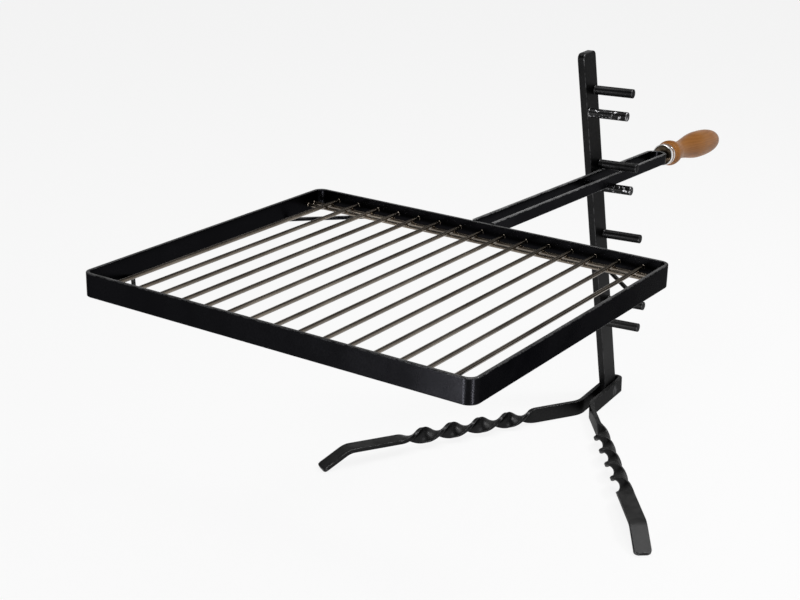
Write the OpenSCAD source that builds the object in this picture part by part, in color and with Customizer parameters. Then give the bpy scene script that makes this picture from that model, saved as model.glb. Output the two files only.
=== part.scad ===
// Campfire grill: a leaning upright with pairs of pins, a foot bar bent round it into two twisted legs,
// and a rod tray whose hairpin handle lies on one pin and under the next.
// The origin is on the ground under the fold pivot, -X points to the tray and -Y along the pins.

/* [Upright] */
// Width of the flat bar
upright_w = 30; // [26:0.5:40]
// Thickness of the flat bar
upright_t = 8; // [6:0.5:10]
// Height of the level top above the ground
upright_h = 439; // [430:1:520]
// Lean towards the tray, in degrees
upright_lean = 13; // [8:0.5:18]
// Radius of the two top corners
top_corner_r = 6; // [2:0.5:8]

/* [Pins] */
// Diameter of each pin
pin_d = 10; // [8:0.5:10]
// Length of each pin from the upright's face
pin_len = 44.5; // [42:0.5:60]
// Distance from a pin's axis to the nearer edge of the upright
pin_edge = 6; // [6:0.25:7]
// Number of pin pairs, each a height for the tray
pair_count = 4; // [4:1:4]
// Distance from the pivot to the middle of the lowest pair, along the upright
pair_first = 114; // [108:1:120]
// Distance from one pair to the next, along the upright
pair_pitch = 90; // [80:1:92]
// Leg of the weld fillet round a pin's root
pin_weld = 0.6; // [0.4:0.1:1]
// Bevel on a pin's free end
pin_bevel = 0.6; // [0.3:0.1:1.5]

/* [Foot bar] */
// Depth of the bar, which stands on edge at the foot
leg_bar_w = 18; // [15:0.5:22]
// Thickness of the bar
leg_bar_t = 5; // [4:0.25:6]
// Distance from the pivot to the back of the bend round the foot
bight_reach = 39; // [36:1:55]
// Distance from the pivot to where each leg turns outwards
splay_reach = 67; // [55:1:80]
// Angle that each leg turns outwards, in degrees
leg_splay = 33; // [25:0.5:40]
// Middle radius of the outward turn
splay_r = 8; // [5:0.5:12]
// Angle that each leg rises from its turn, in degrees
leg_rise = 2; // [1:0.25:4]
// Middle radius of the upward set of each leg
rise_r = 120; // [80:5:160]
// Length of a leg's straight stretch on edge
edge_len = 60.4; // [40:0.2:80]
// Half turns in the twist, a half more than a whole number so that the leg ends flat
half_turns = 4.5; // [2.5:1:6.5]
// Length of one half turn
half_turn_len = 36.6; // [30:0.2:45]
// Length of a leg's flat stretch past the twist
flat_len = 72; // [50:1:90]
// Middle radius of the downward bend at the foot
foot_r = 10; // [6:0.5:14]
// Angle of the foot below level, in degrees
foot_fall = 28; // [22:0.5:40]
// Radius of the corners of each foot's tip
tip_corner_r = 4; // [2:0.5:7]

/* [Fold pivot] */
// Diameter of the rivet's shank
rivet_d = 8; // [6:0.5:9]
// Diameter of the rivet's flush heads
rivet_head_d = 12; // [11:0.5:14]
// Depth of the rivet's flush heads
rivet_head_h = 2; // [1:0.25:3]
// Radial running gap between the rivet and the flanges
rivet_gap = 0.05; // [0.02:0.01:0.1]
// Gap between the upright's foot and each flange
slot_gap = 0.3; // [0.2:0.05:0.5]

/* [Tray] */
// Width of the tray across the handle
tray_w = 400; // [320:5:480]
// Length of the tray along the handle
tray_l = 344; // [280:4:400]
// Depth of the frame's flat bar
frame_h = 22; // [21:0.5:30]
// Thickness of the frame's flat bar
frame_t = 3.5; // [3:0.25:5]
// Outer radius of the frame's corners
frame_corner_r = 10; // [7:0.5:11]
// Number of rods
rod_count = 15; // [15:1:15]
// Diameter of each rod
rod_d = 4; // [3:0.25:4.5]
// Distance from the frame's outer face to the outer rod's axis
rod_edge = 27; // [20:0.5:32]
// Depth of the rods' axes below the rim
rod_depth = 9; // [6:0.5:9]
// Diameter of the wires across under the rods
wire_d = 3.5; // [3:0.25:4]
// Distance from the frame's outer face to the outer wire's axis
wire_edge = 13; // [13:0.5:20]
// Distance between the two wires of a pair
wire_pitch = 10; // [8:0.5:20]
// Diameter of the corner braces
brace_d = 4; // [3:0.25:4]
// Distance from the frame's corner to a brace's end, along each side
brace_reach = 60; // [40:1:70]

/* [Handle] */
// Height of the hairpin's flat bar, which stands on edge
hairpin_bar_h = 12; // [10:0.5:14]
// Thickness of the hairpin's flat bar
hairpin_bar_t = 4; // [3:0.25:5]
// Outer width of the hairpin
hairpin_w = 25; // [20:0.5:32]
// Length of the hairpin from the tray's frame to the back of its bend
hairpin_len = 406; // [380:1:440]
// Height of the hairpin's top edge above the rim at the tray
hairpin_proud = 1.4; // [0:0.2:3]
// Fall of the handle from the tray's own plane, in degrees
handle_fall = 1.5; // [0:0.1:2.5]

/* [Grip] */
// Diameter of the tang
tang_d = 8; // [6:0.5:10]
// Length of the tang from the hairpin's bend
tang_len = 90; // [60:1:120]
// Distance from the hairpin's bend to the ferrule
grip_gap = 7; // [4:0.5:12]
// Outer diameter of the ferrule
ferrule_d = 25; // [22:0.5:27]
// Wall of the ferrule
ferrule_t = 1; // [0.5:0.25:1.5]
// Length of the ferrule
ferrule_len = 10; // [8:0.5:14]
// Thickness of the end disc
disc_t = 2; // [1:0.25:3]
// Depth of the end disc inside the ferrule's mouth
disc_inset = 1; // [0.5:0.25:2]
// Length of the grip past the ferrule
grip_len = 147; // [130:1:180]
// Diameter of the grip's collar
collar_d = 30; // [28:0.5:34]
// Diameter of the grip's neck
neck_d = 21; // [18:0.5:24]
// Diameter of the grip's bulb
bulb_d = 32; // [28:0.5:36]
// Distance from the ferrule to the collar's widest place
collar_at = 9; // [7:0.5:12]
// Distance from the ferrule to the neck's narrowest place
neck_at = 34; // [28:1:45]
// Distance from the ferrule to the bulb's widest place
bulb_at = 90; // [80:1:110]
// Bluntness of the grip's end, 2 for an ellipse
end_power = 2.6; // [2:0.1:3]
// Fall of the tang and grip from the hairpin's line, in degrees
grip_fall = 2; // [0:0.1:3]

/* [How the tray hangs] */
// Pair of pins that holds the handle, counted from the ground
hang_level = 3; // [1:1:4]
// Distance from the tray's frame to the middle of the pair, along the handle
hang_reach = 272.5; // [230:0.5:330]
// Gap between the hairpin and the upright's face
side_gap = 1.5; // [1.2:0.1:3]
// Gap between the hairpin and each pin that it bears on
seat_gap = 0.3; // [0.2:0.05:0.5]
// Swing of the tray about the vertical, in degrees
hang_swing = 3.2; // [0:0.1:3.5]
// Fall of the tray towards the grip, in degrees
hang_fall = 0.8; // [0:0.1:2]
// Roll of the tray about its handle, in degrees
hang_roll = 1.5; // [0:0.1:2]

/* [Edges and welds] */
// Radius of the flat bars' rolled edges
edge_r = 0.8; // [0.4:0.1:1]
// Gap left for the weld between crossing or butted pieces
weld_gap = 0.05; // [0.02:0.01:0.1]
// Radial gap for the adhesive between tang, disc, ferrule and wood
glue_gap = 0.05; // [0.02:0.01:0.1]

/* [Hidden] */
$fn = 64;

// Steps of a rounded corner in an outline, and of the grip's turned curve
edge_steps = 2;
corner_steps = 6;
grip_step = 2;
// Steps of the foot bar's bends, and of each half turn of its twist
bight_steps = 20;
splay_steps = 5;
foot_steps = 5;
steps_per_half_turn = 20;
// Length by which cutting shapes pass what they cut
over = 1;

black = [0.1, 0.105, 0.115];
steel = [0.62, 0.6, 0.56];
bright = [0.85, 0.85, 0.86];
beech = [0.72, 0.42, 0.2];

// Foot bar: places that follow from the upright's thickness and the bar's size
slot_w = upright_t + 2 * slot_gap;
flange_y = (slot_w + leg_bar_t) / 2;
pivot_z = leg_bar_w / 2;
bight_x = bight_reach - slot_w / 2 - leg_bar_t;
splay_tangent = splay_r * tan(leg_splay / 2);
twist_len = half_turns * half_turn_len;
twist_steps = half_turns * steps_per_half_turn;
risen_len = edge_len + twist_len + flat_len;
foot_bend_z = pivot_z + rise_r * (1 - cos(leg_rise)) + risen_len * sin(leg_rise);
foot_start_z = foot_bend_z - foot_r * (cos(leg_rise) - cos(foot_fall));
foot_len = (foot_start_z - leg_bar_t / 2 * cos(foot_fall)) / sin(foot_fall);
foot_turn = foot_fall + leg_rise;

// Pins: the room between the two of a pair is the hairpin's height, its roll and two seat gaps
pin_across = upright_w / 2 - pin_edge;
bar_room = hairpin_bar_h + hairpin_w * sin(hang_roll) + pin_d + 2 * seat_gap;
seat_angle = upright_lean + handle_fall + hang_fall;
pair_spread = (bar_room - 2 * pin_across * sin(seat_angle)) / cos(seat_angle);

// Tray and handle, from the middle of the rim
wall_x = tray_l / 2;
rod_pitch = (tray_w - 2 * rod_edge) / (rod_count - 1);
rod_len = tray_l - 2 * frame_t;
wire_len = tray_w - 2 * frame_t;
wire_z = -rod_depth - (rod_d + wire_d) / 2 - weld_gap;
brace_z = -frame_h + brace_d / 2;
handle_root = [wall_x, 0, hairpin_proud - hairpin_bar_h / 2];
tang_at = weld_gap + tang_d / 2 * sin(grip_fall);
disc_at = grip_gap + disc_inset;
wood_at = disc_at + disc_t;
wood_end_r = ferrule_d / 2 - ferrule_t - glue_gap;
ferrule_end = grip_gap + ferrule_len;

function unit(v) = v / norm(v);

// A place on the upright's middle plane: s along it from the pivot, c across it away from the tray
function on_upright(s, c) = [
    c * cos(upright_lean) - s * sin(upright_lean),
    0,
    pivot_z + s * cos(upright_lean) + c * sin(upright_lean)
];

// Arc of radius r that rounds the corner b between a and c
function corner_arc(a, b, c, r, steps) =
    let (u = unit(a - b), w = unit(c - b), half = acos(u * w) / 2)
    let (centre = b + unit(u + w) * r / sin(half), turn = 180 - 2 * half)
    let (first = b + u * r / tan(half) - centre, last = b + w * r / tan(half) - centre)
    [for (i = [0 : steps])
        centre + (first * sin(turn * (1 - i / steps)) + last * sin(turn * i / steps)) / sin(turn)];

// Closed outline p with the radius r[i] at each corner, and a sharp corner where it is 0
function rounded_outline(p, r, steps) = [
    for (i = [0 : len(p) - 1])
        each r[i] == 0 ? [p[i]] :
            corner_arc(p[(i + len(p) - 1) % len(p)], p[i], p[(i + 1) % len(p)], r[i], steps)
];

// Smooth change from a to b as t goes from 0 to 1
function ease(a, b, t) = a + (b - a) * (1 - cos(180 * t)) / 2;

// Radius of the turned grip at the distance x past the ferrule
function grip_r(x) =
    x < collar_at ? ease(ferrule_d / 2, collar_d / 2, x / collar_at) :
    x < neck_at ? ease(collar_d / 2, neck_d / 2, (x - collar_at) / (neck_at - collar_at)) :
    x < bulb_at ? ease(neck_d / 2, bulb_d / 2, (x - neck_at) / (bulb_at - neck_at)) :
    bulb_d / 2 * pow(max(0, 1 - pow((x - bulb_at) / (grip_len - bulb_at), end_power)), 1 / end_power);

function rod_name(i) = str("grill_rod_", i < 10 ? "0" : "", i);

// Cross-section of a flat bar with rolled edges
function bar_outline(w, h) =
    rounded_outline([[-w, -h], [w, -h], [w, h], [-w, h]] / 2, [edge_r, edge_r, edge_r, edge_r], edge_steps);

module bar_section(w, h) {
    polygon(bar_outline(w, h));
}

// Straight flat bar along +X, w wide along Y and h high
module bar_along(w, h, length) {
    rotate([90, 0, 90]) linear_extrude(length) bar_section(w, h);
}

// Flat bar bent about +Z at radius r, from the angle start, w thick and h high
module bar_bend(w, h, r, start, angle) {
    rotate([0, 0, start]) rotate_extrude(angle = angle) translate([r, 0]) bar_section(w, h);
}

// The leaning bar is cut level at the ground and at the top
module upright() {
    foot_left = on_upright(-pivot_z / cos(upright_lean), 0)[0] - upright_w / 2 / cos(upright_lean);
    foot_right = foot_left + upright_w / cos(upright_lean);
    shift = -upright_h * tan(upright_lean);
    side = [[foot_left, 0], [foot_right, 0], [foot_right + shift, upright_h], [foot_left + shift, upright_h]];
    color(black) difference() {
        intersection() {
            translate([0, 0, pivot_z]) rotate([0, -upright_lean, 0])
                translate([0, 0, -upright_w]) linear_extrude(upright_h + 3 * upright_w)
                    bar_section(upright_w, upright_t);
            rotate([90, 0, 0]) linear_extrude(upright_t + over, center = true)
                polygon(rounded_outline(side, [0, 0, top_corner_r, top_corner_r], corner_steps));
        }
        translate([0, 0, pivot_z]) rotate([90, 0, 0])
            cylinder(d = rivet_d, h = upright_t + over, center = true);
    }
}

// Round pin along -Y, with a weld fillet at its root
module pin(s, c) {
    r = pin_d / 2;
    color(black) translate(on_upright(s, c)) translate([0, -upright_t / 2, 0]) rotate([90, 0, 0])
        rotate_extrude() polygon([
            [0, 0],
            [r + pin_weld, 0],
            [r, pin_weld],
            [r, pin_len - pin_bevel],
            [r - pin_bevel, pin_len],
            [0, pin_len]
        ]);
}

function pair_at(i) = pair_first + (i - 1) * pair_pitch;

module support_pin(i) {
    pin(pair_at(i) - pair_spread / 2, -pin_across);
}

module hold_down_pin(i) {
    pin(pair_at(i) + pair_spread / 2, pin_across);
}

// Half of the rivet's profile from the middle plane, and the hole for it with a gap all round
function rivet_half(gap) =
    let (end = slot_w / 2 + leg_bar_t, r = rivet_d / 2 + gap, head_r = rivet_head_d / 2 + gap)
    [[0, 0], [r, 0], [r, end - rivet_head_h], [head_r, end], [0, end]];

module rivet_solid(gap) {
    translate([0, 0, pivot_z]) rotate([90, 0, 0]) {
        rotate_extrude() polygon(rivet_half(gap));
        mirror([0, 0, 1]) rotate_extrude() polygon(rivet_half(gap));
    }
}

module pivot_rivet() {
    color(black) rivet_solid(0);
}

// Turn of a ring by roll about its heading: its centre, its two axes and its width
function ring(centre, yaw, pitch, roll, width) =
    let (left = [-sin(yaw), cos(yaw), 0], ahead = [cos(yaw) * cos(pitch), sin(yaw) * cos(pitch), sin(pitch)])
    let (up = cross(ahead, left))
    [centre, left * cos(roll) + up * sin(roll), up * cos(roll) - left * sin(roll), width];

// Ring of a leg's centre line: d outwards from the splay in plan, at the height z
function leg_ring(side, d, z, pitch, roll, width) =
    let (x = splay_tangent - splay_reach - splay_r * sin(leg_splay), y = flange_y + splay_r * (1 - cos(leg_splay)))
    let (centre = [x - d * cos(leg_splay), side * (y + d * sin(leg_splay)), z])
    side > 0 ? ring(centre, 180 - leg_splay, pitch, roll, width)
             : ring(centre, leg_splay, -pitch, -roll, width);

// Ring past the rise, at s along the risen line, turned by the left-hand twist
function risen_ring(side, s) =
    let (into_twist = max(0, min(s - edge_len, twist_len)))
    leg_ring(
        side,
        rise_r * sin(leg_rise) + s * cos(leg_rise),
        pivot_z + rise_r * (1 - cos(leg_rise)) + s * sin(leg_rise),
        leg_rise,
        -180 * into_twist / half_turn_len,
        leg_bar_w
    );

// Ring in the foot's bend at the angle a below the risen line, and e along the foot past it
function foot_ring(side, a, e, width) =
    let (pitch = leg_rise - a, start = rise_r * sin(leg_rise) + risen_len * cos(leg_rise))
    leg_ring(
        side,
        start + foot_r * (sin(leg_rise) - sin(pitch)) + e * cos(pitch),
        foot_bend_z + foot_r * (cos(pitch) - cos(leg_rise)) + e * sin(pitch),
        pitch,
        -180 * half_turns,
        width
    );

// Rings of one leg from the upright to the tip, on the side 1 or -1
function leg_rings(side) = concat(
    [for (i = [0 : splay_steps])
        let (a = leg_splay * i / splay_steps)
        let (x = splay_tangent - splay_reach - splay_r * sin(a), y = flange_y + splay_r * (1 - cos(a)))
        ring([x, side * y, pivot_z], side > 0 ? 180 - a : a, 0, 0, leg_bar_w)],
    [risen_ring(side, 0)],
    [for (i = [0 : twist_steps]) risen_ring(side, edge_len + twist_len * i / twist_steps)],
    [for (i = [0 : foot_steps]) foot_ring(side, foot_turn * i / foot_steps, 0, leg_bar_w)],
    [for (i = [0 : corner_steps])
        let (a = 90 * i / corner_steps)
        foot_ring(
            side,
            foot_turn,
            foot_len - tip_corner_r * (1 - sin(a)),
            leg_bar_w - 2 * tip_corner_r * (1 - cos(a))
        )]
);

// Rings of the bend round the foot, from the flange at -Y to the one at +Y
function bight_rings() = [
    for (i = [0 : bight_steps])
        let (yaw = 180 * i / bight_steps)
        ring([bight_x + flange_y * sin(yaw), -flange_y * cos(yaw), pivot_z], yaw, 0, 0, leg_bar_w)
];

function backwards(list) = [for (i = [1 : len(list)]) list[len(list) - i]];

// Flat bar swept through a list of rings, closed at both ends
module swept_bar(rings, thickness) {
    sides = len(bar_outline(thickness, leg_bar_w));
    points = [for (r = rings, q = bar_outline(thickness, r[3])) r[0] + r[1] * q[0] + r[2] * q[1]];
    skin = [
        for (i = [0 : len(rings) - 2], j = [0 : sides - 1])
            let (k = (j + 1) % sides, a = i * sides, b = a + sides)
            each [[a + j, b + j, b + k], [a + j, b + k, a + k]]
    ];
    near_end = [for (j = [0 : sides - 1]) j];
    far_end = [for (j = [1 : sides]) len(rings) * sides - j];
    polyhedron(points, concat(skin, [near_end, far_end]));
}

// One bar: a bend round the foot, two flanges with the rivet's holes, and the two twisted legs
module leg_bar() {
    color(black) difference() {
        swept_bar(concat(backwards(leg_rings(-1)), bight_rings(), leg_rings(1)), leg_bar_t);
        rivet_solid(rivet_gap);
    }
}

// Places what is drawn from the middle of the rim so that the handle lies between its pair of pins
module hung() {
    seat = handle_root + hang_reach * [cos(handle_fall), 0, -sin(handle_fall)];
    beside = [0, -(upright_t / 2 + side_gap + hairpin_w / 2), 0];
    translate(on_upright(pair_at(hang_level), 0) + beside)
        rotate([hang_roll, hang_fall, -hang_swing])
            translate(-seat) children();
}

// Places what is drawn along +X from the tray's frame on the handle's line
module along_handle() {
    hung() translate(handle_root) rotate([0, handle_fall, 0]) children();
}

// Places what is drawn along +X from the back of the hairpin's bend on the grip's own line
module along_grip() {
    along_handle() translate([hairpin_len, 0, 0]) rotate([0, grip_fall, 0]) children();
}

// Four sides and four bent corners of one flat bar
module grate_frame() {
    side_x = tray_l / 2 - frame_corner_r;
    side_y = tray_w / 2 - frame_corner_r;
    color(black) hung() translate([0, 0, -frame_h / 2]) {
        for (s = [-1, 1]) {
            translate([-side_x, s * (tray_w - frame_t) / 2, 0]) bar_along(frame_t, frame_h, 2 * side_x);
            translate([s * (tray_l - frame_t) / 2, -side_y, 0]) rotate([0, 0, 90])
                bar_along(frame_t, frame_h, 2 * side_y);
        }
        for (k = [0 : 3])
            translate([(k == 0 || k == 3 ? 1 : -1) * side_x, (k < 2 ? 1 : -1) * side_y, 0])
                bar_bend(frame_t, frame_h, frame_corner_r - frame_t / 2, 90 * k, 90);
    }
}

module grill_rod(i) {
    color(steel) hung() translate([0, (i - (rod_count + 1) / 2) * rod_pitch, -rod_depth])
        rotate([0, 90, 0]) cylinder(d = rod_d, h = rod_len, center = true);
}

// Wires 1 and 2 lie at the far side of the tray, 3 and 4 at the handle's side
module cross_wire(i) {
    from_wall = wire_edge + (i == 2 || i == 3 ? wire_pitch : 0);
    color(steel) hung() translate([(i < 3 ? -1 : 1) * (wall_x - from_wall), 0, wire_z])
        rotate([90, 0, 0]) cylinder(d = wire_d, h = wire_len, center = true);
}

// Slanted rod across a corner, its ends cut to meet the frame's inner faces
module corner_brace(i) {
    sx = i == 1 || i == 4 ? 1 : -1;
    sy = i < 3 ? 1 : -1;
    span = brace_reach - frame_t;
    middle = [wall_x - frame_t - span / 2, tray_w / 2 - frame_t - span / 2];
    color(black) hung() intersection() {
        translate([sx * middle[0], sy * middle[1], brace_z]) rotate([90, 0, -45 * sx * sy])
            rotate([0, 90, 0]) cylinder(d = brace_d, h = 2 * span, center = true);
        cube([rod_len, wire_len, 3 * frame_h], center = true);
    }
}

// Hairpin of flat bar on edge, its two ends cut flush with the frame's outer face
module handle_bar() {
    straight = hairpin_len - hairpin_w / 2;
    middle_r = (hairpin_w - hairpin_bar_t) / 2;
    color(black) difference() {
        along_handle() {
            for (s = [-1, 1])
                translate([-over, s * middle_r, 0])
                    bar_along(hairpin_bar_t, hairpin_bar_h, straight + over);
            translate([straight, 0, 0]) bar_bend(hairpin_bar_t, hairpin_bar_h, middle_r, -90, 180);
        }
        hung() translate([wall_x - 10 * over, -hairpin_w, -hairpin_bar_h - over])
            cube([10 * over, 2 * hairpin_w, 2 * hairpin_bar_h]);
    }
}

module tang() {
    color(black) along_grip() translate([tang_at, 0, 0])
        rotate([0, 90, 0]) cylinder(d = tang_d, h = tang_len);
}

module end_disc() {
    color(black) along_grip() translate([disc_at, 0, 0]) rotate([0, 90, 0])
        rotate_extrude() translate([tang_d / 2 + glue_gap, 0]) square([wood_end_r - tang_d / 2 - glue_gap, disc_t]);
}

module ferrule() {
    color(bright) along_grip() translate([grip_gap, 0, 0]) rotate([0, 90, 0])
        rotate_extrude() translate([ferrule_d / 2 - ferrule_t, 0]) square([ferrule_t, ferrule_len]);
}

// Turned wood with a stepped end for the ferrule and a blind bore for the tang
module wood_grip() {
    bore_r = tang_d / 2 + glue_gap;
    bore_end = tang_at + tang_len + over - ferrule_end;
    step_x = wood_at - ferrule_end;
    curve = [for (x = [0 : grip_step : grip_len - grip_step / 4]) [grip_r(x), x]];
    color(beech) along_grip() translate([ferrule_end, 0, 0]) rotate([0, 90, 0]) rotate_extrude()
        polygon(concat(
            [[0, grip_len], [0, bore_end], [bore_r, bore_end], [bore_r, step_x], [wood_end_r, step_x]],
            [[wood_end_r, 0]],
            curve
        ));
}

upright();
leg_bar();
pivot_rivet();
for (i = [1 : pair_count]) {
    support_pin(i);
    hold_down_pin(i);
}
grate_frame();
for (i = [1 : rod_count])
    grill_rod(i);
for (i = [1 : 4]) {
    cross_wire(i);
    corner_brace(i);
}
handle_bar();
tang();
end_disc();
ferrule();
wood_grip();
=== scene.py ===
# %% [markdown]
# # A campfire grill in black bar steel
# The real grill is bent, twisted and welded from flat bar and round rod. A leaning bar carries eight pins,
# one long bar is wrapped round its foot and twisted into two legs, and a tray hangs between two of the pins
# by a hairpin handle with a turned wooden grip.
#
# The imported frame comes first. Every piece that is modelled below goes exactly where the frame has it.

# %% Load the frame
import math

import bmesh
import bpy
from mathutils import Matrix, Vector


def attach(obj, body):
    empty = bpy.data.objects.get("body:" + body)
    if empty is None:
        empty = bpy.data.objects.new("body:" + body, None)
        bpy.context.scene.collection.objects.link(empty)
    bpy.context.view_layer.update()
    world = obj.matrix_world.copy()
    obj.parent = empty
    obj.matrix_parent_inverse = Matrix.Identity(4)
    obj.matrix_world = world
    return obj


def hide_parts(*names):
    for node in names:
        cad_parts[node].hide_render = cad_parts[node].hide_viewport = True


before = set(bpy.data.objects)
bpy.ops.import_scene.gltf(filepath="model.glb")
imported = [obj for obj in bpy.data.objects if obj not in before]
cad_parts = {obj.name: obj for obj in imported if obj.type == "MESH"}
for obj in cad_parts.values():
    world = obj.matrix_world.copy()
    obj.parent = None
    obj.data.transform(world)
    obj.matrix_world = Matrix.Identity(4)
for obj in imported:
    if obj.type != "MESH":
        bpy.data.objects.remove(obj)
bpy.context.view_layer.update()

mm = 0.001

# %% [markdown]
# ## Where things are
# The stand is measured from the ground under the fold. The tray has a frame of its own, with its origin in
# the middle of the rim, and the handle has another, with X along the bar from the tray. A piece is easiest
# to model straight, in such a frame, and one matrix then puts it in its place.

# %% Sizes of the bars
UPRIGHT_W, UPRIGHT_T, UPRIGHT_H, TOP_CORNER_R = 30 * mm, 8 * mm, 439 * mm, 6 * mm
LEAN = math.radians(13)
PIVOT_Z, RIVET_R, RIVET_HEAD_H = 9 * mm, 4 * mm, 2 * mm
PIN_R, PIN_LEN, PIN_ACROSS = 5 * mm, 44.5 * mm, 9 * mm
PAIRS, PAIR_FIRST, PAIR_PITCH = 4, 114 * mm, 90 * mm
TRAY_W, TRAY_L, FRAME_H, FRAME_T = 400 * mm, 344 * mm, 22 * mm, 3.5 * mm
HAIRPIN_H, HAIRPIN_T, HAIRPIN_W, HAIRPIN_LEN = 12 * mm, 4 * mm, 25 * mm, 406 * mm
ROLLED_R = 0.8 * mm          # the rounding of the edges of every flat bar
FIT = 0.05 * mm              # the room round pieces that are glued, welded or riveted

# %% How the tray hangs
HAIRPIN_PROUD = 1.4 * mm     # how far the handle stands over the rim
HOOK_X = 272.5 * mm          # where along the handle it lies on its pin
HOOK_PAIR = 3                # the pair of pins that holds it, from below
SIDE_GAP, SEAT_ROOM = 1.5 * mm, 0.6 * mm
HANDLE_FALL, GRIP_FALL = math.radians(1.5), math.radians(2)
HANG_ROLL, HANG_FALL, HANG_SWING = (math.radians(a) for a in (1.5, 0.8, 3.2))

bar_room = HAIRPIN_H + HAIRPIN_W * math.sin(HANG_ROLL) + 2 * PIN_R + SEAT_ROOM
seat_angle = LEAN + HANDLE_FALL + HANG_FALL
PAIR_SPREAD = (bar_room - 2 * PIN_ACROSS * math.sin(seat_angle)) / math.cos(seat_angle)
print("the two pins of a pair are", round(PAIR_SPREAD / mm, 2), "mm apart")


# %% Places on the upright, in the tray and along the handle
def on_upright(along, across):
    """A place on the upright's middle plane, along it from the fold and across it away from the tray."""
    return Vector((
        across * math.cos(LEAN) - along * math.sin(LEAN),
        0,
        PIVOT_Z + along * math.cos(LEAN) + across * math.sin(LEAN),
    ))


handle_root = Vector((TRAY_L / 2, 0, HAIRPIN_PROUD - HAIRPIN_H / 2))
handle_ahead = Vector((math.cos(HANDLE_FALL), 0, -math.sin(HANDLE_FALL)))
beside_upright = Vector((0, -(UPRIGHT_T / 2 + SIDE_GAP + HAIRPIN_W / 2), 0))
hook = on_upright(PAIR_FIRST + (HOOK_PAIR - 1) * PAIR_PITCH, 0) + beside_upright
IN_TRAY = (
    Matrix.Translation(hook)
    @ Matrix.Rotation(-HANG_SWING, 4, "Z")
    @ Matrix.Rotation(HANG_FALL, 4, "Y")
    @ Matrix.Rotation(HANG_ROLL, 4, "X")
    @ Matrix.Translation(-(handle_root + HOOK_X * handle_ahead))
)
ON_HANDLE = IN_TRAY @ Matrix.Translation(handle_root) @ Matrix.Rotation(HANDLE_FALL, 4, "Y")
ON_GRIP = ON_HANDLE @ Matrix.Translation((HAIRPIN_LEN, 0, 0)) @ Matrix.Rotation(GRIP_FALL, 4, "Y")
print("the rim's middle is at", [round(v, 3) for v in IN_TRAY.translation])

# %% [markdown]
# ## Finishes
# The stand has a grained charcoal powder coat, which is chipped on the two pins that see the most use. The
# tray has a blacker and smoother one, the handle a glossier one, and the disc in the ferrule a brown-black
# one. The rest is drawn stainless rod, bright steel on the ferrule and varnished wood. A few small helpers
# keep the node trees readable. They could be built by hand in the Shader Editor in the same order.

# %% Helpers for node trees
def add_node(tree, kind, inputs=None, **settings):
    """Adds a shader node, sets its options, and sets or links its inputs."""
    new = tree.nodes.new("ShaderNode" + kind)
    for key, value in settings.items():
        setattr(new, key, value)
    for key, value in (inputs or {}).items():
        if isinstance(value, bpy.types.NodeSocket):
            tree.links.new(value, new.inputs[key])
        else:
            new.inputs[key].default_value = value
    return new


def noise(tree, where, scale, detail=2.0, roughness=0.5):
    settings = {"Vector": where, "Scale": scale, "Detail": detail, "Roughness": roughness}
    return add_node(tree, "TexNoise", settings).outputs[0]


def spread(tree, value, low, high, out_low=0.0, out_high=1.0):
    """Stretches value so that low becomes out_low and high becomes out_high, with nothing beyond them."""
    settings = {"Value": value, "From Min": low, "From Max": high, "To Min": out_low, "To Max": out_high}
    return add_node(tree, "MapRange", settings).outputs[0]


def times(tree, a, b):
    return add_node(tree, "Math", {0: a, 1: b}, operation="MULTIPLY").outputs[0]


def larger(tree, a, b):
    return add_node(tree, "Math", {0: a, 1: b}, operation="MAXIMUM").outputs[0]


def blend(tree, factor, a, b):
    """Mixes two colours."""
    return add_node(tree, "Mix", {0: factor, 6: a, 7: b}, data_type="RGBA").outputs[2]


def part_of(tree, vector, axis):
    """One coordinate of a vector: 0, 1 or 2 for X, Y or Z."""
    return add_node(tree, "SeparateXYZ", {0: vector}).outputs[axis]


def even_grey(tree, value):
    """A colour whose three channels are all the linked value."""
    return add_node(tree, "CombineColor", {0: value, 1: value, 2: value}).outputs[0]


def grey(value, blue=0.0, red=0.0):
    """A grey with a little more blue or red in it."""
    return (value + red, value, value + blue, 1)


def stretched(tree, where, scale):
    return add_node(tree, "VectorMath", {0: where, 1: scale}, operation="MULTIPLY").outputs[0]


def in_frame(tree, where, placing):
    """The same coordinates seen from a piece's own frame."""
    place, turn, _ = placing.inverted().decompose()
    settings = {"Vector": where, "Location": place, "Rotation": turn.to_euler()}
    return add_node(tree, "Mapping", settings).outputs[0]


def start_material(name):
    """A new material: its tree, its shader and its Object coordinates."""
    material = bpy.data.materials.new(name)
    material.use_nodes = True
    tree = material.node_tree
    return material, tree, tree.nodes["Principled BSDF"], add_node(tree, "TexCoord").outputs["Object"]


def bump(tree, shader, height, distance, strength):
    shape = add_node(tree, "Bump", {"Height": height, "Distance": distance, "Strength": strength})
    tree.links.new(shape.outputs[0], shader.inputs["Normal"])


# %% [markdown]
# Powder coat is plastic that melts onto the steel. It has a fine grain, and it thins on sharp edges, where
# handling polishes it and the colder grey of the steel starts to show. On the handle that bright edge colour
# is partly a painted highlight. Pointiness, which is above a half on outer edges, finds those edges without
# any painting by hand. In white surroundings a plain dielectric black turns pale at glancing angles, and the
# real coat stays dark. So the shader is metallic with a very dark base, and Specular Tint holds back the
# glancing reflection. What faces up gets a painted top light in patches, and what is low gets a painted
# reflection of the floor. This painted light is matt, so it takes the Metallic value down. Chips are patches
# of bare bright steel.

# %% Powder coat
# the third scale sets the patches of painted top light
CLOUD_SCALE, RUB_AND_SHEEN_SCALE, PAINTED_LIGHT_SCALE, FLAKE_SCALE = 18, 160, 45, 210
# the edges that these thresholds and the rub scale find are worn, and on the handle partly a painted
# highlight
EDGE_FROM, EDGE_FULL = 0.522, 0.531          # the Pointiness where wear starts and is complete
# how metallic and how glossy the painted top light and painted floor reflection are
PAINTED_LIGHT_METALLIC, PAINTED_LIGHT_SPECULAR = 0.3, 0.1
BARE_STEEL = (0.62, 0.62, 0.64, 1)


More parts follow.
